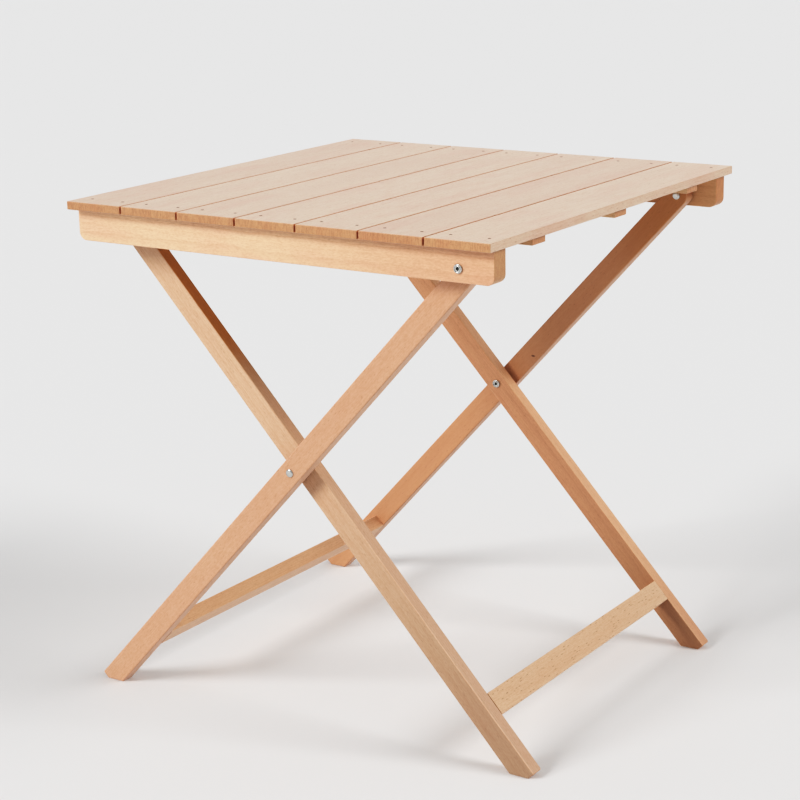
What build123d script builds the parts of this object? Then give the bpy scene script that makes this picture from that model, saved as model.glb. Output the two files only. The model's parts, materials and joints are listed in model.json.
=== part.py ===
"""Folding slatted table in beech: a slatted top and two leg frames crossed like scissors."""
import os
from math import atan2, cos, degrees, sin, tan

from build123d import *

os.makedirs("parts", exist_ok=True)

# ---------------------------------------------------------------- driving sizes, mm
# X runs across the slats, Y along them, Z up; the origin is on the floor under the crossing.
table_height = 749.0
top_length = 700.0          # across all the slats
top_depth = 712.0           # length of one slat
top_shift = 8.5             # middle of the top past the crossing, towards the hinge end

slat_count = 7
slat_gap = 2.5
slat_thickness = 12.0
board_arris = 1.2           # small round on the edges of the top boards

apron_thickness = 28.0
apron_height = 46.0
apron_setback = 17.5        # from the slat ends to the outer face of an apron
apron_end_inset = 5.0       # from the edge of the top to the end of an apron
apron_corner_radius = 12.0

batten_width = 33.0
batten_thickness = 10.0
batten_end_inset = 5.0
batten_to_leg = 11.5        # from an outer batten to the inner leg beside it

leg_width = 34.0
leg_thickness = 22.0
leg_arris = 2.0
toe_height = 8.6            # above the floor, where the square end of a leg begins
toe_radius = 2.5
cross_height = 385.0        # crossing pins above the floor
hinge_drop = 27.5           # hinge pins below the underside of the slats
hinge_inset = 58.0          # hinge pins from the edge of the top

hinge_gap = 4.0             # between an apron and the outer leg
cross_gap = 7.5             # between an outer leg and the inner leg

stretcher_width = 35.0
stretcher_thickness = 22.0
stretcher_arris = 2.0
outer_stretcher_reach = 400.0   # from the crossing down the leg to the middle of the board
inner_stretcher_reach = 421.0
stretcher_dowel_diameter = 8.0
stretcher_dowel_spacing = 17.0
stretcher_dowel_depth = 14.0    # into the leg
stretcher_dowel_grip = 20.0     # into the stretcher
dowel_clearance = 0.05          # radial, dowels and tenons in their seats

crossbar_diameter = 18.0
crossbar_tenon_diameter = 14.0
crossbar_tenon_length = 15.0
crossbar_drop = 1.2         # under the battens, so that the bar slides out freely
leg_top_clearance = 1.0     # least room between the round top of an inner leg and the slats
catch_depth = 4.0           # of the rounded notches in the battens
catch_slack = 0.5

pin_diameter = 9.0          # barrel of a sleeve nut
running_clearance = 0.05    # radial, pin in a bore
face_clearance = 0.35       # between faces that turn on each other
bolt_diameter = 6.0        # shank of the bolt inside a sleeve nut
bolt_clearance = 0.05
sleeve_end_wall = 10.0      # wood left around the bolt alone, past the end of the barrel
bolt_head_diameter = 12.6
bolt_head_height = 2.4
bolt_tip_gap = 2.0
hex_across_flats = 4.0
hex_depth = 1.7
dome_diameter = 12.0
dome_height = 2.4
dome_rim = 0.7
washer_diameter = 18.0
spacer_diameter = 20.0

nail_diameter = 2.4
nail_length = 30.0          # of the shank, ends above the hinge pins
nail_head_diameter = 4.6
nail_head_height = 1.0
nail_sink = 0.2             # heads are set below the surface
nail_edge = 20.5            # from the long edge of a slat
nail_clearance = 0.05

batten_screw_diameter = 3.0         # screws that hold the battens from below
batten_screw_head_diameter = 6.4
batten_screw_head_height = 2.0
batten_screw_bite = 7.0             # into the slat
batten_screw_clearance = 0.05

# ---------------------------------------------------------------- places worked out from them
slat_width = (top_length - (slat_count - 1) * slat_gap) / slat_count
slat_pitch = slat_width + slat_gap
slat_centres = [top_shift + (i - (slat_count - 1) / 2) * slat_pitch for i in range(slat_count)]
nail_offset = slat_width / 2 - nail_edge
slat_under = table_height - slat_thickness
batten_under = slat_under - batten_thickness

apron_outer = top_depth / 2 - apron_setback
apron_inner = apron_outer - apron_thickness
outer_leg_out = apron_inner - hinge_gap
outer_leg_in = outer_leg_out - leg_thickness
inner_leg_out = outer_leg_in - cross_gap
inner_leg_in = inner_leg_out - leg_thickness
apron_middle = (apron_outer + apron_inner) / 2
batten_place = inner_leg_in - batten_to_leg - batten_width / 2

hinge_x = top_shift + top_length / 2 - hinge_inset
hinge_z = slat_under - hinge_drop
slope = atan2(hinge_z - cross_height, hinge_x)
crossbar_radius = crossbar_diameter / 2
half_leg = leg_width / 2
crossbar_z = min(batten_under - crossbar_drop - crossbar_radius,
                 slat_under - leg_top_clearance - half_leg)
crossbar_x = -(crossbar_z - cross_height) / tan(slope)
foot_x = cross_height / tan(slope)
foot_half = half_leg / sin(slope)
side_names = {-1: "front", 1: "rear"}


def side_plane(side, inner, outer):
    """Upright plane from which a board on that side is extruded towards the front."""
    return Plane.XZ.offset(inner if side < 0 else -outer)


def outward_plane(side, x, z, y):
    """Plane at a pin, facing away from the middle of the table on that side."""
    return Plane(origin=(x, side * y, z), x_dir=(1, 0, 0), z_dir=(0, side, 0))


def inward_plane(side, x, z, y):
    """Plane at a pin, facing the middle of the table from that side."""
    return Plane(origin=(x, side * y, z), x_dir=(1, 0, 0), z_dir=(0, -side, 0))


def finish(part, name):
    """Labels a piece and writes its STEP file."""
    part.label = name
    export_step(part, f"parts/{name}.step")


def edges_of_faces(part, axis):
    """Outline edges of the faces that look along an axis."""
    return part.faces().filter_by(axis).edges()


# ---------------------------------------------------------------- slats
for index, centre in enumerate(slat_centres):
    with BuildPart() as slat:
        with BuildSketch(Plane.XY.offset(slat_under)):
            with Locations((centre, 0)):
                Rectangle(slat_width, top_depth)
        extrude(amount=slat_thickness)
        fillet(slat.edges(), radius=board_arris)
        nail_spots = [
            (centre + dx * nail_offset, side * apron_middle) for dx in (-1, 1) for side in (-1, 1)
        ]
        with BuildSketch(Plane.XY.offset(table_height)):
            with Locations(*nail_spots):
                Circle(nail_head_diameter / 2 + nail_clearance)
        extrude(amount=-(nail_sink + nail_head_height), mode=Mode.SUBTRACT)
        with BuildSketch(Plane.XY.offset(slat_under)):
            with Locations(*nail_spots):
                Circle(nail_diameter / 2 + nail_clearance)
        extrude(amount=slat_thickness, mode=Mode.SUBTRACT)
        with BuildSketch(Plane.XY.offset(slat_under)):
            with Locations((centre, -batten_place), (centre, 0), (centre, batten_place)):
                Circle(batten_screw_diameter / 2 + batten_screw_clearance)
        extrude(amount=batten_screw_bite + batten_screw_clearance, mode=Mode.SUBTRACT)
    finish(slat.part, f"slat_{index + 1}")

# ---------------------------------------------------------------- aprons
nail_bite = nail_length - (slat_thickness - nail_sink - nail_head_height)  # into an apron
barrel_in_apron = apron_thickness - sleeve_end_wall
for side, side_name in side_names.items():
    with BuildPart() as apron:
        with BuildSketch(side_plane(side, apron_inner, apron_outer)):
            with Locations((top_shift, slat_under - apron_height / 2)):
                Rectangle(top_length - 2 * apron_end_inset, apron_height)
        extrude(amount=apron_thickness)
        lower_corners = apron.edges().filter_by(Axis.Y).group_by(Axis.Z)[0]
        fillet(lower_corners, radius=apron_corner_radius)
        fillet(edges_of_faces(apron, Axis.Y), radius=board_arris)
        with BuildSketch(Plane.XY.offset(slat_under)):
            with Locations(*[(x + dx * nail_offset, side * apron_middle) for x in slat_centres
                             for dx in (-1, 1)]):
                Circle(nail_diameter / 2 + nail_clearance)
        extrude(amount=-(nail_bite + nail_clearance), mode=Mode.SUBTRACT)
        with BuildSketch(outward_plane(side, hinge_x, hinge_z, apron_inner)):
            Circle(pin_diameter / 2 + running_clearance)
        extrude(amount=barrel_in_apron, mode=Mode.SUBTRACT)
        with BuildSketch(outward_plane(side, hinge_x, hinge_z, apron_inner)):
            Circle(bolt_diameter / 2 + bolt_clearance)
        extrude(amount=apron_thickness, mode=Mode.SUBTRACT)
    finish(apron.part, f"{side_name}_apron")

# ---------------------------------------------------------------- battens with the catch notches
catch_radius = crossbar_radius + catch_slack
catch_z = batten_under + catch_depth - catch_radius
for name, place in (("front", -batten_place), ("middle", 0.0), ("rear", batten_place)):
    with BuildPart() as batten:
        with BuildSketch(Plane.XY.offset(batten_under)):
            with Locations((top_shift, place)):
                Rectangle(top_length - 2 * batten_end_inset, batten_width)
        extrude(amount=batten_thickness)
        fillet(batten.faces().sort_by(Axis.Z)[0].edges(), radius=board_arris)
        with BuildSketch(Plane.XZ.offset(-(place + batten_width / 2))):
            with Locations((crossbar_x, catch_z)):
                Circle(catch_radius)
        extrude(amount=batten_width, mode=Mode.SUBTRACT)
        head_middle = batten_under + batten_screw_head_height / 2
        with Locations(*[(x, place, head_middle) for x in slat_centres]):
            Cone(
                batten_screw_head_diameter / 2 + batten_screw_clearance,
                batten_screw_diameter / 2 + batten_screw_clearance,
                batten_screw_head_height,
                mode=Mode.SUBTRACT,
            )
        with Locations(*[(x, place, batten_under + batten_thickness / 2) for x in slat_centres]):
            Cylinder(
                batten_screw_diameter / 2 + batten_screw_clearance,
                batten_thickness,
                mode=Mode.SUBTRACT,
            )
    finish(batten.part, f"{name}_batten")

# ---------------------------------------------------------------- nails and batten screws
nail_top = table_height - nail_sink
for side, side_name in side_names.items():
    with BuildPart() as nails:
        spots = [(x + dx * nail_offset, side * apron_middle) for x in slat_centres
                 for dx in (-1, 1)]
        with BuildSketch(Plane.XY.offset(nail_top)):
            with Locations(*spots):
                Circle(nail_head_diameter / 2)
        extrude(amount=-nail_head_height)
        with BuildSketch(Plane.XY.offset(nail_top - nail_head_height)):
            with Locations(*spots):
                Circle(nail_diameter / 2)
        extrude(amount=-nail_length)
    finish(nails.part, f"{side_name}_slat_nails")

with BuildPart() as batten_screws:
    head_middle = batten_under + batten_screw_head_height / 2
    shank_length = batten_thickness + batten_screw_bite - batten_screw_head_height
    shank_middle = batten_under + batten_screw_head_height + shank_length / 2
    spots = [(x, y) for x in slat_centres for y in (-batten_place, 0, batten_place)]
    with Locations(*[(x, y, head_middle) for x, y in spots]):
        Cone(batten_screw_head_diameter / 2, batten_screw_diameter / 2, batten_screw_head_height)
    with Locations(*[(x, y, shank_middle) for x, y in spots]):
        Cylinder(batten_screw_diameter / 2, shank_length)
finish(batten_screws.part, "batten_screws")


# ---------------------------------------------------------------- legs
def leg_corners(lean, top_x, top_z):
    """Corners of a leg's face, level below and square at the toe, and the tip of its round top.

    lean is +1 where the foot is on the left and -1 where it is on the right.
    """
    across = Vector(lean * sin(slope), -cos(slope)) * half_leg
    along = Vector(lean * cos(slope), sin(slope)) * half_leg
    top = Vector(top_x, top_z)
    heel = Vector(lean * (foot_half - foot_x), 0)
    toe = Vector(-lean * (foot_x + foot_half - toe_height / tan(slope)), toe_height)
    sole = toe + Vector(lean * toe_height * tan(slope), -toe_height)
    return top - across, toe, sole, heel, top + across, top + along


def down_leg(lean, reach):
    """Middle of a stretcher: down the leg from the crossing, flush with its lower or upper edge."""
    inset = half_leg - stretcher_thickness / 2
    x = -lean * reach * cos(slope) + inset * sin(slope)
    z = cross_height - reach * sin(slope) - lean * inset * cos(slope)
    return x, z


def stretcher_plane(lean, reach, y):
    """Section plane of a stretcher: x along the leg, y towards the table's middle from its face."""
    x, z = down_leg(lean, reach)
    return Plane(origin=(x, y, z), x_dir=(lean * cos(slope), 0, sin(slope)), z_dir=(0, 1, 0))


def dowel_spots():
    """Two dowels side by side in the end of a stretcher."""
    return GridLocations(stretcher_dowel_spacing, 0, 2, 1)


frames = {
    "outer": dict(lean=1, top_x=hinge_x, top_z=hinge_z, out=outer_leg_out, inn=outer_leg_in,
                  reach=outer_stretcher_reach),
    "inner": dict(lean=-1, top_x=crossbar_x, top_z=crossbar_z, out=inner_leg_out,
                  inn=inner_leg_in, reach=inner_stretcher_reach),
}

for frame_name, frame in frames.items():
    lean = frame["lean"]
    for side, side_name in side_names.items():
        with BuildPart() as leg:
            corners = leg_corners(lean, frame["top_x"], frame["top_z"])
            over, toe, sole, heel, under, tip = corners
            with BuildSketch(side_plane(side, frame["inn"], frame["out"])) as outline:
                with BuildLine():
                    Polyline(over, toe, sole, heel, under)
                    ThreePointArc(under, tip, over)
                make_face()
                toe_corner = outline.vertices().sort_by(Axis.X)[0 if lean > 0 else -1]
                fillet(toe_corner, radius=toe_radius)
            extrude(amount=leg_thickness)
            fillet(edges_of_faces(leg, Axis.Y), radius=leg_arris)
            dowel_holes = stretcher_plane(lean, frame["reach"], side * frame["inn"])
            with BuildSketch(dowel_holes):
                with dowel_spots():
                    Circle(stretcher_dowel_diameter / 2 + dowel_clearance)
            extrude(amount=side * (stretcher_dowel_depth + dowel_clearance), mode=Mode.SUBTRACT)
            if frame_name == "outer":
                with BuildSketch(outward_plane(side, hinge_x, hinge_z, frame["inn"])):
                    Circle(pin_diameter / 2 + running_clearance)
                extrude(amount=leg_thickness, mode=Mode.SUBTRACT)
                with BuildSketch(outward_plane(side, 0, cross_height, frame["inn"])):
                    Circle(pin_diameter / 2 + running_clearance)
                extrude(amount=leg_thickness, mode=Mode.SUBTRACT)
            else:
                with BuildSketch(inward_plane(side, 0, cross_height, frame["out"])):
                    Circle(pin_diameter / 2 + running_clearance)
                extrude(amount=leg_thickness - sleeve_end_wall, mode=Mode.SUBTRACT)
                with BuildSketch(inward_plane(side, 0, cross_height, frame["out"])):
                    Circle(bolt_diameter / 2 + bolt_clearance)
                extrude(amount=leg_thickness, mode=Mode.SUBTRACT)
                with BuildSketch(outward_plane(side, crossbar_x, crossbar_z, frame["inn"])):
                    Circle(crossbar_tenon_diameter / 2 + dowel_clearance)
                extrude(amount=crossbar_tenon_length + dowel_clearance, mode=Mode.SUBTRACT)
        finish(leg.part, f"{frame_name}_leg_{side_name}")

    # ------------------------------------------------------------ stretcher and its dowels
    with BuildPart() as stretcher:
        with BuildSketch(stretcher_plane(lean, frame["reach"], -frame["inn"])):
            Rectangle(stretcher_width, stretcher_thickness)
        extrude(amount=2 * frame["inn"])
        fillet(stretcher.edges().filter_by(Axis.Y), radius=stretcher_arris)
        for side in side_names:
            with BuildSketch(stretcher_plane(lean, frame["reach"], side * frame["inn"])):
                with dowel_spots():
                    Circle(stretcher_dowel_diameter / 2 + dowel_clearance)
            extrude(amount=-side * (stretcher_dowel_grip + dowel_clearance), mode=Mode.SUBTRACT)
    finish(stretcher.part, f"{frame_name}_stretcher")

    with BuildPart() as dowels:
        for side in side_names:
            start = side * (frame["inn"] - stretcher_dowel_grip)
            with BuildSketch(stretcher_plane(lean, frame["reach"], start)):
                with dowel_spots():
                    Circle(stretcher_dowel_diameter / 2)
            extrude(amount=side * (stretcher_dowel_grip + stretcher_dowel_depth))
    finish(dowels.part, f"{frame_name}_stretcher_dowels")

# ---------------------------------------------------------------- crossbar that hooks under the top
with BuildPart() as crossbar:
    with BuildSketch(Plane.XZ.offset(-inner_leg_in)):
        with Locations((crossbar_x, crossbar_z)):
            Circle(crossbar_radius)
    extrude(amount=2 * inner_leg_in)
    with BuildSketch(Plane.XZ.offset(-inner_leg_in - crossbar_tenon_length)):
        with Locations((crossbar_x, crossbar_z)):
            Circle(crossbar_tenon_diameter / 2)
    extrude(amount=2 * (inner_leg_in + crossbar_tenon_length))
finish(crossbar.part, "crossbar")


# ---------------------------------------------------------------- pins, bolts and washers
def ring(name, plane, diameter, thickness):
    """Flat washer around a pin."""
    with BuildPart() as washer:
        with BuildSketch(plane):
            Circle(diameter / 2)
            Circle(pin_diameter / 2 + running_clearance, mode=Mode.SUBTRACT)
        extrude(amount=thickness)
    finish(washer.part, name)


def sleeve_nut(name, plane, length):
    """Domed head and a hollow barrel that reaches back through the boards.

    The plane lies under the head and faces away from the barrel.
    """
    with BuildPart() as nut:
        with BuildSketch(plane):
            Circle(dome_diameter / 2)
        extrude(amount=dome_height)
        top_edge = nut.faces().filter_by(GeomType.PLANE).sort_by(
            lambda face: (face.center() - plane.origin).dot(plane.z_dir))[-1].edges()
        fillet(top_edge, radius=dome_height - dome_rim)
        with BuildSketch(plane):
            Circle(pin_diameter / 2)
        extrude(amount=-length)
        with BuildSketch(plane.offset(-dome_rim)):
            Circle(bolt_diameter / 2 + bolt_clearance)
        extrude(amount=-length, mode=Mode.SUBTRACT)
    finish(nut.part, name)


def socket_bolt(name, plane, length):
    """Low round head with a hexagon socket, and a plain shank that reaches back.

    The plane lies under the head and faces away from the shank.
    """
    with BuildPart() as bolt:
        with BuildSketch(plane):
            Circle(bolt_head_diameter / 2)
        extrude(amount=bolt_head_height)
        top_edge = bolt.faces().filter_by(GeomType.PLANE).sort_by(
            lambda face: (face.center() - plane.origin).dot(plane.z_dir))[-1].edges()
        fillet(top_edge, radius=dome_rim)
        with BuildSketch(plane.offset(bolt_head_height)):
            RegularPolygon(hex_across_flats / 2, 6, major_radius=False)
        extrude(amount=-hex_depth, mode=Mode.SUBTRACT)
        with BuildSketch(plane):
            Circle(bolt_diameter / 2)
        extrude(amount=-length)
    finish(bolt.part, name)


hinge_barrel = face_clearance + leg_thickness + hinge_gap + barrel_in_apron - face_clearance
cross_barrel = leg_thickness + cross_gap + leg_thickness - sleeve_end_wall - face_clearance
for side, side_name in side_names.items():
    ring(f"hinge_washer_{side_name}", outward_plane(side, hinge_x, hinge_z, outer_leg_out),
         washer_diameter, hinge_gap - face_clearance)
    ring(f"cross_spacer_{side_name}", inward_plane(side, 0, cross_height, outer_leg_in),
         spacer_diameter, cross_gap - face_clearance)
    sleeve_nut(f"hinge_sleeve_nut_{side_name}",
               inward_plane(side, hinge_x, hinge_z, outer_leg_in - face_clearance), hinge_barrel)
    socket_bolt(f"hinge_bolt_{side_name}", outward_plane(side, hinge_x, hinge_z, apron_outer),
                apron_thickness + hinge_gap + leg_thickness - bolt_tip_gap)
    sleeve_nut(f"cross_sleeve_nut_{side_name}",
               outward_plane(side, 0, cross_height, outer_leg_out), cross_barrel)
    socket_bolt(f"cross_bolt_{side_name}",
                inward_plane(side, 0, cross_height, inner_leg_in - face_clearance),
                leg_thickness + cross_gap + leg_thickness - bolt_tip_gap)

print(f"leg angle {degrees(slope):.2f} deg, hinge ({hinge_x:.2f}, {hinge_z:.2f}), "
      f"crossbar ({crossbar_x:.2f}, {crossbar_z:.2f})")
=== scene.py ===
import json
import math
from functools import partial
import bpy
from mathutils import Matrix, Vector


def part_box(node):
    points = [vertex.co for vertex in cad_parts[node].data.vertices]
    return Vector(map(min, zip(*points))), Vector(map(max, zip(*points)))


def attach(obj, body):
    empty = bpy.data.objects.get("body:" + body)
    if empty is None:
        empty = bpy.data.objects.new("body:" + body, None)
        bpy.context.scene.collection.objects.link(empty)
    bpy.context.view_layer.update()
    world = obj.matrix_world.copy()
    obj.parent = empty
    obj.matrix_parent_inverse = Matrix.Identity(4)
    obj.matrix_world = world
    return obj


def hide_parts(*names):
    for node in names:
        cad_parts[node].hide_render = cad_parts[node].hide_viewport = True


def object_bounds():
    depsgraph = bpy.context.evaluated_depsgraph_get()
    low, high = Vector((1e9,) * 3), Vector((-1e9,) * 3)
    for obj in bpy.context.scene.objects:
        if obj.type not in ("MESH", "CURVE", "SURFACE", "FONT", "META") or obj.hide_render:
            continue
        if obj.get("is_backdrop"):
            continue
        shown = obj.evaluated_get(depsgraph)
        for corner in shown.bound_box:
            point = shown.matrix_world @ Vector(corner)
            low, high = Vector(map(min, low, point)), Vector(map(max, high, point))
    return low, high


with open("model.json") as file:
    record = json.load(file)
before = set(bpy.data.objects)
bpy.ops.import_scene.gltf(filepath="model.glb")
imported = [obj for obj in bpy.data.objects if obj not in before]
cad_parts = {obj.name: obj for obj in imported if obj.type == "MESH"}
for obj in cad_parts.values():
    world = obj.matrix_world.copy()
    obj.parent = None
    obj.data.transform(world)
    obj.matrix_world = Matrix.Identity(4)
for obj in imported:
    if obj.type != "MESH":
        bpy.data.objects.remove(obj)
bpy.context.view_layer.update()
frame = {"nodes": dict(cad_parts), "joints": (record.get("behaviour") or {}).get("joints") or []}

mm = 0.001
nodes = frame["nodes"]


# small helpers

def hexColor(code):
    # sRGB to linear, opaque
    parts = [int(code[i:i + 2], 16) / 255 for i in (1, 3, 5)]
    linear = [p / 12.92 if p <= 0.04045 else ((p + 0.055) / 1.055) ** 2.4 for p in parts]
    return (*linear, 1.0)

def addNode(tree, kind, settings=None, inputs=None, out=None):
    # an input that is a socket is linked, any other is a value
    # gives the output that is asked for, or the node
    node = tree.nodes.new("ShaderNode" + kind)
    for name, value in (settings or {}).items():
        setattr(node, name, value)
    for name, value in (inputs or {}).items():
        if isinstance(value, bpy.types.NodeSocket):
            tree.links.new(value, node.inputs[name])
        else:
            node.inputs[name].default_value = value
    return node if out is None else node.outputs[out]

def newMaterial(name):
    material = bpy.data.materials.new(name)
    material.use_nodes = True
    material.node_tree.nodes.clear()
    return material, material.node_tree

def giveMaterial(node, material):
    data = nodes[node].data
    data.materials.clear()
    data.materials.append(material)

def middle(node):
    low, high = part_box(node)
    return (low + high) / 2


# camera, floor and light

cameraView = {
    "place": (1.6133, -2.4400, 1.2122),
    "yaw": 33.75,      # degrees, turned to the left of straight ahead
    "pitch": 14.48,    # degrees, tipped down
    "roll": -1.165,
    "lens": 90.32,
    "sensor": 36.0,
    "shiftY": -0.031,
    "farthest": 100.0,
}

def makeCamera(view):
    data = bpy.data.cameras.new("camera")
    data.lens = view["lens"]
    data.sensor_width = view["sensor"]
    data.shift_y = view["shiftY"]
    data.clip_end = view["farthest"]
    camera = bpy.data.objects.new("camera", data)
    bpy.context.scene.collection.objects.link(camera)
    turn = (Matrix.Rotation(math.radians(view["yaw"]), 4, "Z")
            @ Matrix.Rotation(math.radians(90 - view["pitch"]), 4, "X")
            @ Matrix.Rotation(math.radians(view["roll"]), 4, "Z"))
    camera.matrix_world = Matrix.Translation(view["place"]) @ turn
    bpy.context.scene.camera = camera

studio = {
    "floorColor": "#E1E1E1",
    "floorSize": 80.0,
    "floorRough": 0.75,
    "floorShine": 0.2,
    "skyColor": "#F4F4F4",
    "skyAbove": 0.46,      # strength overhead
    "wallBehind": 1.10,    # strength at the horizon behind the table, the pale wall
    "wallBefore": 0.22,    # and on this side, where the studio is dim
    "behind": (-0.55, 0.83, 0.0),
    "wallFade": (-0.6, 0.9),   # from this side to the far side, as a cosine
    "wallRise": 0.45,      # height, as a sine, at which the walls end
    # two big soft lamps: the direction to each, its strength and its apparent width in degrees
    "lamps": [
        {"name": "leftLamp", "towards": (-0.97, -1.50, 1.00), "strength": 2.40, "width": 24},
        {"name": "rightLamp", "towards": (1.20, 0.30, 1.00), "strength": 1.60, "width": 26},
    ],
    "lampAway": 3.0,       # where the lamps stand; their light is the same from any distance
}

def makeFloor(values):
    bpy.ops.mesh.primitive_plane_add(size=values["floorSize"], location=(0, 0, 0))
    floor = bpy.context.object
    floor.name = "floor"
    material, tree = newMaterial("matte paper floor")
    shader = addNode(tree, "BsdfPrincipled", {}, {
        "Base Color": hexColor(values["floorColor"]), "Roughness": values["floorRough"],
        "Specular IOR Level": values["floorShine"]}, "BSDF")
    addNode(tree, "OutputMaterial", {}, {"Surface": shader})
    floor.data.materials.append(material)
    floor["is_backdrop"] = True

def makeLight(values):
    world = bpy.data.worlds.new("studio")
    world.use_nodes = True
    tree = world.node_tree
    tree.nodes.clear()
    smooth = {"interpolation_type": "SMOOTHSTEP"}
    nearFade, farFade = values["wallFade"]
    direction = addNode(tree, "TexCoord", {}, {}, "Generated")
    height = addNode(tree, "SeparateXYZ", {}, {0: direction}, "Z")
    side = addNode(tree, "VectorMath", {"operation": "DOT_PRODUCT"}, {
        0: direction, 1: values["behind"]}, "Value")
    wall = addNode(tree, "MapRange", smooth, {
        "Value": side, "From Min": nearFade, "From Max": farFade,
        "To Min": values["wallBefore"], "To Max": values["wallBehind"]}, 0)
    strength = addNode(tree, "MapRange", smooth, {
        "Value": height, "From Min": 0.0, "From Max": values["wallRise"],
        "To Min": wall, "To Max": values["skyAbove"]}, 0)
    sky = addNode(tree, "Background", {}, {
        "Color": hexColor(values["skyColor"]), "Strength": strength}, 0)
    addNode(tree, "OutputWorld", {}, {"Surface": sky})
    bpy.context.scene.world = world
    for entry in values["lamps"]:
        light = bpy.data.lights.new(entry["name"], "SUN")
        light.energy = entry["strength"]
        light.angle = math.radians(entry["width"])
        lamp = bpy.data.objects.new(entry["name"], light)
        bpy.context.scene.collection.objects.link(lamp)
        towards = Vector(entry["towards"]).normalized()
        lamp.location = towards * values["lampAway"]
        lamp.rotation_euler = towards.to_track_quat("Z", "Y").to_euler()

# light in the scene against light in the picture: a firm toe and a soft shoulder, as film gives
printCurve = [
    (0.08, 0.042), (0.20, 0.155), (0.40, 0.39), (0.70, 0.70), (1.00, 0.89), (1.60, 1.00),
]

def setPrint(points):
    settings = bpy.context.scene.view_settings
    settings.view_transform = "Standard"
    settings.use_curve_mapping = True
    mapping = settings.curve_mapping
    mapping.clip_max_x = points[-1][0]
    curve = mapping.curves[3]  # the one for all three colours
    curve.points[-1].location = points[-1]
    for x, y in points[:-1]:
        curve.points.new(x, y)
    mapping.update()

makeCamera(cameraView)
makeFloor(studio)
makeLight(studio)
setPrint(printCurve)
print("camera and studio ready")


# where things are, from the frame

hinge = next(j for j in frame["joints"] if j["name"] == "fold")["pos_m"]
crossing = next(j for j in frame["joints"] if j["name"] == "cross")["pos_m"]
legAngle = math.degrees(math.atan2(hinge[2] - crossing[2], hinge[0] - crossing[0]))
slatPitch = middle("slat_2").x - middle("slat_1").x
battenPitch = middle("rear_batten").y - middle("middle_batten").y


# beech

# Steamed beech, planed, fine sanded and oiled: pale orange-pink with a dusty satin sheen, faint
# late-wood lines a few millimetres apart, and short brown spindles where rays are cut across.
# Lengths are in mm; a size is along the grain, across it and up.
beech = {
    "light": "#DAB28E", "warm": "#D3A381", "late": "#B58058", "fleck": "#86522E",
    "turn": (0, 0, 0),       # degrees that bring the grain onto X
    "level": 0.0,            # height of the row
    "boardJump": (4000, 260, 160),  # most that two boards lie apart in their trees
    "boardSpread": 0.5,      # difference in tone between boards
    "heart": (0, 70, 50),    # from the board to the middle of the tree
    "heartSpread": (0, 50, 60),
    "ringWidth": 3.6,        # between late-wood lines
    "ringWander": 4.0,       # how far the lines bend over a few hundred
    "wanderSize": (380, 55, 55),
    "ringRipple": 0.9,       # how far they waver over a finger's width
    "rippleSize": (18, 14, 14),
    "summer": 0.55,          # share of a year after which the wood darkens quickly
    "summerShade": 0.2,
    "yearChange": 0.4,       # how fast the strength of the lines changes from year to year
    "yearShows": (0.35, 0.65),
    "faintest": 0.2,         # strength of the faintest line
    "ringDepth": 0.30,       # share of the late-wood colour
    "fibreWidth": 1.3,       # real fibres are finer, this is as fine as shows
    "fibreLength": 28.0,
    "fibreShows": (0.45, 0.75),
    "fibreDepth": 0.30,
    "mottleSize": 1.7,       # fine speckle between the fibres
    "mottleStretch": 2.5,
    "mottleShows": (0.40, 0.65),
    "mottleDepth": 0.22,
    "cloudLength": 220.0,    # the slow changes of tone
    "cloudWidth": 40.0,
    "cloudDepth": 1.4,
    "pink": "#DB9C7C",       # rosy patches
    "pinkSize": (160, 38, 38),
    "pinkShows": (0.45, 0.70),
    "pinkDepth": 0.0,
    "fleckAcross": 3.4,      # from one ray spindle to the next
    "fleckAlong": 16.0,
    "fleckSize": 0.15,       # share of that spacing
    "fleckEdge": (0.4, 1.3),
    "fleckDepth": 0.35,
    "endTint": "#DFBC90",    # a cut end is darker, with fine rays across it
    "endDepth": 0.85,
    "endRaySize": (60, 1.6, 9.0),
    "endRayShows": (0.42, 0.62),
    "endRayDepth": 0.45,
    "endFacing": (0.40, 0.95),   # how squarely a surface faces along the grain to be an end
    "sideFacing": (0.70, 0.95),  # and across it or up to be a side
    "knotEdge": (0.35, 1.0),
    "knotDepth": 0.85,
    "rough": 0.50,
    "roughShows": (0.3, 0.7),
    "roughSpread": (-0.05, 0.08),
    "poreBump": 0.10,
    "poreStrength": 0.6,
    "sheen": 0.20,
    "sheenRough": 0.45,
    # slow changes of tone along one side, matched in one light: partly the wood's own tone,
    # partly painted shade and painted light; start and end along the grain
    "toneAndShadeDrifts": [],
}

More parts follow.
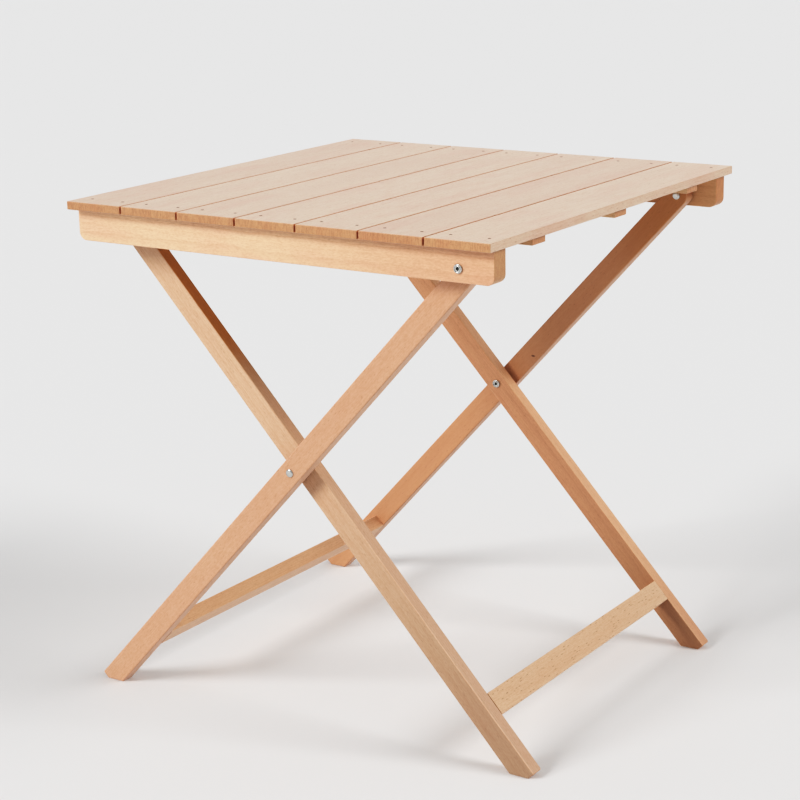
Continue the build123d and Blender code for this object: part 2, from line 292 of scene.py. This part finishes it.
def makeBeech(name, piece):
    wood = {**beech, **piece}
    material, tree = newMaterial(name)
    add = partial(addNode, tree)
    turn = tuple(math.radians(angle) for angle in wood["turn"])
    smooth = {"interpolation_type": "SMOOTHSTEP"}
    mix = {"data_type": "RGBA"}
    tint = {"data_type": "RGBA", "blend_type": "MULTIPLY"}
    late = hexColor(wood["late"])

    # which board of the row this is, and the place on it measured from its middle
    place = add("TexCoord")
    row = add("SeparateXYZ", {}, {0: place.outputs["Object"]}, wood["rowAxis"])
    fromStart = add("Math", {"operation": "SUBTRACT"}, {0: row, 1: wood["rowStart"]}, 0)
    steps = add("Math", {"operation": "DIVIDE"}, {0: fromStart, 1: wood["rowStep"]}, 0)
    number = add("Math", {"operation": "FLOOR"}, {0: steps}, 0)
    seeded = add("Math", {"operation": "ADD"}, {0: number, 1: wood["seed"]}, 0)
    chance = add("TexWhiteNoise", {"noise_dimensions": "1D"}, {"W": seeded}, "Color")
    half = add("Math", {"operation": "ADD"}, {0: number, 1: 0.5}, 0)
    boardMiddle = add("Math", {"operation": "MULTIPLY_ADD"}, {
        0: half, 1: wood["rowStep"], 2: wood["rowStart"]}, 0)
    shift = add("CombineXYZ", {}, {wood["rowAxis"]: boardMiddle}, 0)
    onBoard = add("VectorMath", {"operation": "SUBTRACT"}, {
        0: place.outputs["Object"], 1: shift}, 0)

    # in millimetres, X along the grain
    grain = add("Mapping", {"vector_type": "POINT"}, {
        "Vector": onBoard, "Rotation": turn, "Scale": (1 / mm,) * 3,
        "Location": (0, 0, -wood["level"])}, 0)
    along = add("SeparateXYZ", {}, {0: grain}, "X")
    spot = add("VectorMath", {"operation": "MULTIPLY_ADD"}, {
        0: chance, 1: wood["boardJump"], 2: grain}, 0)

    # how squarely the surface faces along the grain, across it, and up
    facing = add("Mapping", {"vector_type": "VECTOR"}, {
        "Vector": place.outputs["Normal"], "Rotation": turn}, 0)
    squarely = {}
    for axis, limits in (("X", "endFacing"), ("Y", "sideFacing"), ("Z", "sideFacing")):
        part = add("SeparateXYZ", {}, {0: facing}, axis)
        size = add("Math", {"operation": "ABSOLUTE"}, {0: part}, 0)
        squarely[axis] = add("MapRange", smooth, {
            "Value": size, "From Min": wood[limits][0], "From Max": wood[limits][1]}, 0)

    # noises drawn out along the grain: size, detail, roughness
    noise = {}
    for label, (size, detail, roughness) in {
        "wander": (wood["wanderSize"], 2.0, 0.50),
        "ripple": (wood["rippleSize"], 1.0, 0.50),
        "fibre": ((wood["fibreLength"], wood["fibreWidth"], wood["fibreWidth"]), 3.0, 0.60),
        "mottle": ((wood["mottleSize"] * wood["mottleStretch"],
                    wood["mottleSize"], wood["mottleSize"]), 2.0, 0.60),
        "cloud": ((wood["cloudLength"], wood["cloudWidth"], wood["cloudWidth"]), 3.0, 0.55),
        "pink": (wood["pinkSize"], 2.0, 0.55),
        "endRays": (wood["endRaySize"], 2.0, 0.50),
    }.items():
        scaled = add("VectorMath", {"operation": "MULTIPLY"}, {
            0: spot, 1: tuple(1 / length for length in size)}, 0)
        noise[label] = add("TexNoise", {}, {
            "Vector": scaled, "Scale": 1.0, "Detail": detail, "Roughness": roughness}, "Fac")

    # late-wood lines: rings about a heart that lies outside the board
    treeMiddle = add("VectorMath", {"operation": "MULTIPLY_ADD"}, {
        0: chance, 1: wood["heartSpread"], 2: grain}, 0)
    heart = add("VectorMath", {"operation": "ADD"}, {0: treeMiddle, 1: wood["heart"]}, 0)
    flat = add("VectorMath", {"operation": "MULTIPLY"}, {0: heart, 1: (0, 1, 1)}, 0)
    radius = add("VectorMath", {"operation": "LENGTH"}, {0: flat}, "Value")
    bent = add("Math", {"operation": "MULTIPLY_ADD"}, {
        0: noise["wander"], 1: wood["ringWander"], 2: radius}, 0)
    wavy = add("Math", {"operation": "MULTIPLY_ADD"}, {
        0: noise["ripple"], 1: wood["ringRipple"], 2: bent}, 0)
    years = add("Math", {"operation": "DIVIDE"}, {0: wavy, 1: wood["ringWidth"]}, 0)
    season = add("Math", {"operation": "FRACT"}, {0: years}, 0)
    # the wood darkens through the year, quickly after the summer, and is pale again at once
    line = add("ValToRGB", {}, {"Fac": season})
    line.color_ramp.interpolation = "EASE"
    line.color_ramp.elements.new(wood["summer"]).color = (*(wood["summerShade"],) * 3, 1)
    yearly = add("TexNoise", {"noise_dimensions": "1D"}, {
        "W": years, "Scale": wood["yearChange"], "Detail": 1.0}, "Fac")
    strength = add("MapRange", {}, {
        "Value": yearly, "From Min": wood["yearShows"][0], "From Max": wood["yearShows"][1],
        "To Min": wood["faintest"]}, 0)
    ring = add("Math", {"operation": "MULTIPLY"}, {0: line.outputs["Color"], 1: strength}, 0)

    # ray spindles, longer than wide
    fleckSpacing = (1 / wood["fleckAlong"], 1 / wood["fleckAcross"], 1 / wood["fleckAcross"])
    raySpot = add("VectorMath", {"operation": "MULTIPLY"}, {0: spot, 1: fleckSpacing}, 0)
    rayDistance = add("TexVoronoi", {}, {"Vector": raySpot, "Scale": 1.0}, "Distance")
    fleckStart, fleckEnd = (wood["fleckSize"] * edge for edge in wood["fleckEdge"])
    fleck = add("MapRange", smooth, {
        "Value": rayDistance, "From Min": fleckStart, "From Max": fleckEnd,
        "To Min": wood["fleckDepth"], "To Max": 0.0}, 0)

    # tone of the board, then rosy patches, lines, fibres, mottling and spindles over it
    boardTone = add("SeparateXYZ", {}, {0: chance}, "Z")
    cloudTone = add("Math", {"operation": "MULTIPLY_ADD"}, {
        0: noise["cloud"], 1: wood["cloudDepth"], 2: -0.5 * wood["cloudDepth"]}, 0)
    tone = add("Math", {"operation": "MULTIPLY_ADD", "use_clamp": True}, {
        0: boardTone, 1: wood["boardSpread"], 2: cloudTone}, 0)
    colour = add("Mix", mix, {0: tone, 6: hexColor(wood["light"]), 7: hexColor(wood["warm"])}, 2)
    for value, (low, high), depth, over, step in (
        (noise["pink"], wood["pinkShows"], wood["pinkDepth"], hexColor(wood["pink"]), smooth),
        (ring, (0.0, 1.0), wood["ringDepth"], late, {}),
        (noise["fibre"], wood["fibreShows"], wood["fibreDepth"], late, {}),
        (noise["mottle"], wood["mottleShows"], wood["mottleDepth"], late, {}),
    ):
        share = add("MapRange", step, {
            "Value": value, "From Min": low, "From Max": high, "To Max": depth}, 0)
        colour = add("Mix", mix, {0: share, 6: colour, 7: over}, 2)
    colour = add("Mix", mix, {0: fleck, 6: colour, 7: hexColor(wood["fleck"])}, 2)

    # painted shade and painted light along one side of a board, over changes in its own tone
    for toneAndShadeDrift in wood["toneAndShadeDrifts"]:
        share = add("MapRange", smooth, {
            "Value": along, "From Min": toneAndShadeDrift["start"], "From Max": toneAndShadeDrift["end"]}, 0)
        shade = add("Mix", mix, {
            0: share, 6: hexColor(toneAndShadeDrift["from"]), 7: hexColor(toneAndShadeDrift["to"])}, 2)
        colour = add("Mix", tint, {0: squarely[toneAndShadeDrift["side"]], 6: colour, 7: shade}, 2)

    if "knot" in wood:
        knot = wood["knot"]
        apart = add("VectorMath", {"operation": "SUBTRACT"}, {
            0: place.outputs["Object"], 1: knot["at"]}, 0)
        perKnot = (1 / mm / knot["long"], 1 / mm / knot["wide"], 1 / mm / knot["wide"])
        inKnots = add("Mapping", {"vector_type": "VECTOR"}, {
            "Vector": apart, "Rotation": turn, "Scale": perKnot}, 0)
        oval = add("VectorMath", {"operation": "LENGTH"}, {0: inKnots}, "Value")
        share = add("MapRange", smooth, {
            "Value": oval, "From Min": wood["knotEdge"][0], "From Max": wood["knotEdge"][1],
            "To Min": wood["knotDepth"], "To Max": 0.0}, 0)
        colour = add("Mix", mix, {0: share, 6: colour, 7: hexColor(knot["color"])}, 2)

    # end grain where the grain runs into the surface
    rayShare = add("MapRange", {}, {
        "Value": noise["endRays"], "From Min": wood["endRayShows"][0],
        "From Max": wood["endRayShows"][1], "To Max": wood["endRayDepth"]}, 0)
    endColour = add("Mix", mix, {0: rayShare, 6: hexColor(wood["endTint"]), 7: late}, 2)
    endShare = add("Math", {"operation": "MULTIPLY"}, {0: squarely["X"], 1: wood["endDepth"]}, 0)
    colour = add("Mix", tint, {0: endShare, 6: colour, 7: endColour}, 2)

    if "gapShade" in wood:
        # painted shade: the sides that face each other across a gap are made darker and browner,
        # as if lit only by light bounced off the wood
        gapShadeValues = wood["gapShade"]
        fromMiddle = add("Math", {"operation": "SUBTRACT"}, {0: row, 1: gapShadeValues["middle"]}, 0)
        away = add("Math", {"operation": "ABSOLUTE"}, {0: fromMiddle}, 0)
        inside = add("Math", {"operation": "LESS_THAN"}, {0: away, 1: gapShadeValues["reach"]}, 0)
        share = add("Math", {"operation": "MULTIPLY"}, {0: squarely["Y"], 1: inside}, 0)
        colour = add("Mix", tint, {0: share, 6: colour, 7: hexColor(gapShadeValues["color"])}, 2)

    # pores and spindles lie a little below the surface, and the fibres change its roughness
    height = add("Math", {"operation": "SUBTRACT"}, {0: noise["fibre"], 1: fleck}, 0)
    bump = add("Bump", {}, {
        "Height": height, "Distance": wood["poreBump"] * mm, "Strength": wood["poreStrength"]}, 0)
    smoother, rougher = (wood["rough"] + change for change in wood["roughSpread"])
    rough = add("MapRange", {}, {
        "Value": noise["fibre"], "From Min": wood["roughShows"][0],
        "From Max": wood["roughShows"][1], "To Min": smoother, "To Max": rougher}, 0)
    shader = add("BsdfPrincipled", {}, {
        "Base Color": colour, "Roughness": rough, "Sheen Weight": wood["sheen"],
        "Sheen Roughness": wood["sheenRough"], "Normal": bump}, 0)
    add("OutputMaterial", {}, {"Surface": shader})
    return material

# how each kind of board is cut; rows and the knot's place are in metres, the rest in millimetres
alongY = (0, 0, -90)
legLevel = crossing[2] / mm * math.cos(math.radians(legAngle))
wholeRow = {"rowAxis": "Z", "rowStart": -1.0, "rowStep": 2.0}  # one board, not a row
outerLeg = {"turn": (0, legAngle, 0), "level": legLevel, **wholeRow}
innerLeg = {"turn": (0, -legAngle, 0), "level": legLevel, **wholeRow}
boards = {
    "slats": {
        "nodes": [f"slat_{i}" for i in range(1, 8)], "turn": alongY,
        "rowAxis": "X", "rowStart": middle("slat_1").x - slatPitch / 2, "rowStep": slatPitch,
        "level": middle("slat_1").z / mm, "seed": 3.0,
        "heart": (0, 90, 60), "heartSpread": (0, 70, 60),
        "light": "#D5BBA2", "warm": "#CAAA93", "pink": "#CFA08A", "endTint": "#EFCFAA",
        "ringDepth": 0.18, "fibreDepth": 0.35, "fleckDepth": 0.45, "fleckSize": 0.17,
        "pinkDepth": 0.35, "rough": 0.44, "sheen": 0.35,
        # painted shade on the slat sides that face each other across the gaps
        "gapShade": {"middle": middle("slat_4").x, "reach": 3.2 * slatPitch, "color": "#E0A274"}},
    "frontApron": {
        "nodes": ["front_apron"], **wholeRow, "level": middle("front_apron").z / mm,
        "seed": 11.0, "heart": (0, 0, 95), "heartSpread": (0, 30, 30),
        "light": "#EFCAA7", "warm": "#EAC09F", "pink": "#E6B096", "endTint": "#C6B08E",
        "ringDepth": 0.40, "ringWidth": 3.4, "ringRipple": 1.3, "fibreDepth": 0.20,
        "cloudDepth": 0.8, "fleckDepth": 0.2, "pinkDepth": 0.35,
        # the front face darker toward its right end: partly painted shade, partly its own tone
        "toneAndShadeDrifts": [
            {"side": "Y", "start": -60.0, "end": 360.0, "from": "#FFFFFF", "to": "#EFE0DC"}]},
    "rearApron": {
        "nodes": ["rear_apron"], **wholeRow, "level": middle("rear_apron").z / mm,
        "seed": 13.0, "heart": (0, 0, 80), "light": "#D8AA80", "warm": "#CA966C"},
    "battens": {
        "nodes": ["front_batten", "middle_batten", "rear_batten"],
        "rowAxis": "Y", "rowStart": -1.5 * battenPitch, "rowStep": battenPitch,
        "level": middle("middle_batten").z / mm, "seed": 21.0, "heart": (0, 20, 90),
        "light": "#DDBE98", "warm": "#D4AF8C", "endTint": "#E6C2AA"},
    "outerLegFront": {
        "nodes": ["outer_leg_front"], **outerLeg, "seed": 31.0, "heart": (0, 30, 110),
        "light": "#D4A88A", "warm": "#CD9C80",
        "ringDepth": 0.12, "fibreDepth": 0.35, "mottleDepth": 0.3},
    "outerLegRear": {
        "nodes": ["outer_leg_rear"], **outerLeg, "seed": 34.0,
        "light": "#CA9874", "warm": "#BE8A6A", "ringDepth": 0.15,
        # one side darker and yellower toward one end: partly painted shade, partly its own tone
        "toneAndShadeDrifts": [
            {"side": "Y", "start": 522.0, "end": 682.0, "from": "#FFFFFF", "to": "#ECDEBC"}],
        "knot": {"at": (0.0512, 0.2845, 0.4306), "long": 5.0, "wide": 2.2, "color": "#5A2E16"}},
    "innerLegFront": {
        "nodes": ["inner_leg_front"], **innerLeg, "seed": 44.0,
        "light": "#D9B698", "warm": "#D3A588", "ringDepth": 0.2,
        # the face darker toward the foot, partly painted shade; the edge strips darker and more
        # orange at the top, painted shade under the tabletop
        "toneAndShadeDrifts": [
            {"side": "Y", "start": -432.0, "end": 278.0, "from": "#FFFFFF", "to": "#C8C4C0"},
            {"side": "Z", "start": -512.0, "end": -402.0, "from": "#E7BC73", "to": "#FFFFFF"},
            {"side": "Z", "start": -342.0, "end": -222.0, "from": "#FFFFFF", "to": "#F1F0F3"}]},
    "innerLegRear": {
        "nodes": ["inner_leg_rear"], **innerLeg, "seed": 47.0,
        "light": "#E4B893", "warm": "#D8A786", "ringDepth": 0.2,
        # the face and the edge strips darker toward the foot: partly painted shade, partly its
        # own tone
        "toneAndShadeDrifts": [
            {"side": "Y", "start": -282.0, "end": 278.0, "from": "#F0E3DD", "to": "#BCACA0"},
            {"side": "Z", "start": -42.0, "end": 258.0, "from": "#FFFFFF", "to": "#E7DAD6"}]},
    "outerStretcher": {
        "nodes": ["outer_stretcher"], "turn": alongY, **wholeRow, "seed": 52.0,
        "ringDepth": 0.25},
    "innerStretcher": {
        "nodes": ["inner_stretcher"], "turn": alongY, **wholeRow, "seed": 61.0,
        "light": "#DCBC9C", "warm": "#D5AE8C", "ringDepth": 0.2,
        "fleckDepth": 0.65, "fleckSize": 0.18, "fleckAcross": 3.0, "fleckAlong": 18.0},
    "turnedBars": {
        "nodes": ["crossbar", "outer_stretcher_dowels", "inner_stretcher_dowels"],
        "turn": alongY, **wholeRow, "seed": 71.0},
}

for kind, piece in boards.items():
    material = makeBeech("oiled beech " + kind, piece)
    for board in piece["nodes"]:
        giveMaterial(board, material)
print("beech boards done:", len(boards), "cuts")


# metal and nylon

fitting = {
    "detail": 3.0,
    "roughShows": (0.3, 0.7),
    "roughSpread": (-0.06, 0.10),
    "dentStrength": 0.4,
}

def makeFitting(name, finish):
    metal = {**fitting, **finish}
    material, tree = newMaterial(name)
    add = partial(addNode, tree)
    place = add("TexCoord", {}, {}, "Object")
    spots = add("TexNoise", {}, {
        "Vector": place, "Scale": 1 / (metal["spotSize"] * mm), "Detail": metal["detail"]}, "Fac")
    colour = add("Mix", {"data_type": "RGBA"}, {
        0: spots, 6: hexColor(metal["bright"]), 7: hexColor(metal["dull"])}, 2)
    smoother, rougher = (metal["rough"] + change for change in metal["roughSpread"])
    rough = add("MapRange", {}, {
        "Value": spots, "From Min": metal["roughShows"][0], "From Max": metal["roughShows"][1],
        "To Min": smoother, "To Max": rougher}, 0)
    bump = add("Bump", {}, {
        "Height": spots, "Distance": metal["dent"] * mm, "Strength": metal["dentStrength"]}, 0)
    shader = add("BsdfPrincipled", {}, {
        "Base Color": colour, "Metallic": metal["metallic"], "Roughness": rough,
        "Normal": bump}, "BSDF")
    add("OutputMaterial", {}, {"Surface": shader})
    return material

# zinc-nickel plate, tumbled: bright with a slightly soft reflection
nickel = makeFitting("nickel plated steel", {
    "bright": "#DADAD7", "dull": "#BDBDB9",
    "spotSize": 1.2, "rough": 0.22, "dent": 0.02, "metallic": 1.0})
# painted shade: the deep socket is given dark steel
socketShadeSteel = makeFitting("socket steel darkened as painted shade", {
    "bright": "#4E524C", "dull": "#2E322E",
    "spotSize": 0.8, "rough": 0.5, "dent": 0.03, "metallic": 0.6})
# bronzed wire nails, dulled by the oil: brown, hardly any shine
bronzed = makeFitting("bronzed steel nails", {
    "bright": "#543420", "dull": "#382216",
    "spotSize": 1.0, "rough": 0.68, "dent": 0.05, "metallic": 0.2})
# turned nylon washers: milky and waxy
nylon = makeFitting("natural nylon", {
    "bright": "#DCD6C6", "dull": "#CFC7B4",
    "spotSize": 2.0, "rough": 0.45, "dent": 0.03, "metallic": 0.0})

for node in ("front_slat_nails", "rear_slat_nails", "batten_screws"):
    giveMaterial(node, bronzed)
for side in ("front", "rear"):
    for part in ("hinge_washer_", "cross_spacer_"):
        giveMaterial(part + side, nylon)


# bolts and sleeve nuts, modelled in mm about Z with the seat of the head at 0

boltHead = {
    "radius": 6.3, "height": 2.4, "edge": 0.55, "rimWidth": 1.3,
    "groove": 0.8, "grooveWidth": 0.3, "grooveFloor": 0.5, "ringRise": 0.6, "ringWidth": 0.35,
    "socketAcross": 4.4, "socketDepth": 1.9, "shankRadius": 3.0,
    # the socket faces within this reach and below this depth get painted shade
    "darkReach": 0.6,   # share of socketAcross that is dark steel
    "darkBelow": 0.25,  # from the top of the head down to it
}
nutHead = {
    "radius": 6.0, "rim": 0.7, "height": 2.4, "barrelRadius": 4.5, "boreRadius": 3.05,
    # share of the radius and of the height at each ring of the dome
    "dome": [(0.95, 0.42), (0.82, 0.72), (0.60, 0.90), (0.32, 0.98)],
}
turnedFinish = {"sides": 48, "bevel": 0.12, "bevelSteps": 2, "bevelAngle": 40, "smoothAngle": 35}
squareOn = 0.99  # least part of a normal along Z that counts as facing up or down

def deselectAll():
    if bpy.context.object and bpy.context.object.mode != "OBJECT":
        bpy.ops.object.mode_set(mode="OBJECT")
    bpy.ops.object.select_all(action="DESELECT")

def pickFaces(obj, test):
    # selects the faces whose centre and normal pass the test, in edit mode
    bpy.ops.object.mode_set(mode="EDIT")
    bpy.ops.mesh.select_mode(type="FACE")
    bpy.ops.mesh.select_all(action="DESELECT")
    bpy.ops.object.mode_set(mode="OBJECT")
    for face in obj.data.polygons:
        face.select = test(face.center, face.normal)
    bpy.ops.object.mode_set(mode="EDIT")

def stepUp(inward, rise):
    # the picked end face is made smaller by inward and moved by rise
    if inward:
        bpy.ops.mesh.inset(thickness=inward * mm)
    if rise:
        bpy.ops.mesh.extrude_region_move(TRANSFORM_OT_translate={"value": (0, 0, rise * mm)})

def startTurned(name, radius, height):
    deselectAll()
    bpy.ops.mesh.primitive_cylinder_add(
        vertices=turnedFinish["sides"], radius=radius * mm, depth=height * mm,
        location=(0, 0, height * mm / 2))
    obj = bpy.context.object
    obj.name = name
    bpy.ops.object.transform_apply(location=True)
    return obj

def topFace(center, normal):
    return normal.z > squareOn

def underFace(center, normal):
    return normal.z < -squareOn

def finishTurned(obj):
    bpy.ops.object.mode_set(mode="OBJECT")
    bevel = obj.modifiers.new("edges", "BEVEL")
    bevel.width = turnedFinish["bevel"] * mm
    bevel.segments = turnedFinish["bevelSteps"]
    bevel.limit_method = "ANGLE"
    bevel.angle_limit = math.radians(turnedFinish["bevelAngle"])
    bpy.ops.object.modifier_apply(modifier=bevel.name)
    bpy.ops.object.shade_smooth_by_angle(angle=math.radians(turnedFinish["smoothAngle"]))

def makeBolt(values, length):
    bolt = startTurned("socketBolt", values["radius"], values["height"] - values["edge"])
    pickFaces(bolt, topFace)
    stepUp(0, values["edge"])
    narrow = (values["radius"] - values["edge"]) / values["radius"]
    bpy.ops.transform.resize(value=(narrow, narrow, 1))
    stepUp(values["rimWidth"] - values["edge"], 0)
    stepUp(values["grooveWidth"], -values["groove"])
    stepUp(values["grooveFloor"], 0)
    stepUp(values["ringWidth"], values["ringRise"])
    bpy.ops.object.mode_set(mode="OBJECT")
    pickFaces(bolt, underFace)
    stepUp(values["radius"] - values["shankRadius"], -length)
    deselectAll()
    bpy.ops.mesh.primitive_cylinder_add(
        vertices=6, radius=values["socketAcross"] / math.sqrt(3) * mm,
        depth=2 * values["socketDepth"] * mm, location=(0, 0, values["height"] * mm))
    cutter = bpy.context.object
    bpy.ops.object.transform_apply(location=True)
    deselectAll()
    bpy.context.view_layer.objects.active = bolt
    bolt.select_set(True)
    socket = bolt.modifiers.new("socket", "BOOLEAN")
    socket.operation = "DIFFERENCE"
    socket.object = cutter
    socket.solver = "EXACT"
    bpy.ops.object.modifier_apply(modifier=socket.name)
    bpy.data.objects.remove(cutter)
    finishTurned(bolt)
    bolt.data.materials.append(nickel)
    bolt.data.materials.append(socketShadeSteel)
    reach = values["socketAcross"] * values["darkReach"] * mm
    sink = (values["height"] - values["darkBelow"]) * mm
    # faces deep in the socket get the steel darkened as painted shade
    for face in bolt.data.polygons:
        center = face.center
        if 0 < center.z < sink and math.hypot(center.x, center.y) < reach:
            face.material_index = 1
    return bolt

def makeNut(values, length):
    nut = startTurned("sleeveNut", values["radius"], values["rim"])
    pickFaces(nut, topFace)
    lastRadius, lastHeight = values["radius"], values["rim"]
    for share, rise in values["dome"]:
        height = values["rim"] + (values["height"] - values["rim"]) * rise
        radius = values["radius"] * share
        stepUp(0, height - lastHeight)
        bpy.ops.transform.resize(value=(radius / lastRadius, radius / lastRadius, 1))
        lastRadius, lastHeight = radius, height
    stepUp(0, values["height"] - lastHeight)
    bpy.ops.mesh.merge(type="CENTER")
    bpy.ops.object.mode_set(mode="OBJECT")
    pickFaces(nut, underFace)
    stepUp(values["radius"] - values["barrelRadius"], -length)
    stepUp(values["barrelRadius"] - values["boreRadius"], length - values["rim"])
    finishTurned(nut)
    nut.data.materials.append(nickel)
    return nut

def placeTurned(obj, name, node, body, outward):
    # outward is +1 where the head looks to +Y and -1 where it looks to -Y
    low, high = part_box(node)
    height = boltHead["height"] * mm
    seat = high.y - height if outward > 0 else low.y + height
    mid = (low + high) / 2
    piece = obj.copy()
    piece.data = obj.data.copy()
    piece.name = name
    bpy.context.scene.collection.objects.link(piece)
    deselectAll()
    bpy.context.view_layer.objects.active = piece
    piece.select_set(True)
    piece.rotation_euler = (math.radians(-90 * outward), 0, 0)
    piece.location = (mid.x, seat, mid.z)
    bpy.ops.object.transform_apply(location=True, rotation=True, scale=True)
    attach(piece, body)
    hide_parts(node)

turned = {
    # the body, the maker, its sizes, and whether the head looks away from the middle of the table
    "hinge_bolt": ("top", makeBolt, boltHead, True),
    "hinge_sleeve_nut": ("top", makeNut, nutHead, False),
    "cross_bolt": ("outer_frame", makeBolt, boltHead, False),
    "cross_sleeve_nut": ("outer_frame", makeNut, nutHead, True),
}
for part, (body, maker, values, looksOut) in turned.items():
    low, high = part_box(part + "_front")
    master = maker(values, (high.y - low.y) / mm - values["height"])
    for side, sign in (("front", -1), ("rear", 1)):
        outward = sign if looksOut else -sign
        placeTurned(master, f"{part}_{side}_turned", f"{part}_{side}", body, outward)
    bpy.data.objects.remove(master)
print("fittings done")

low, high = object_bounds()
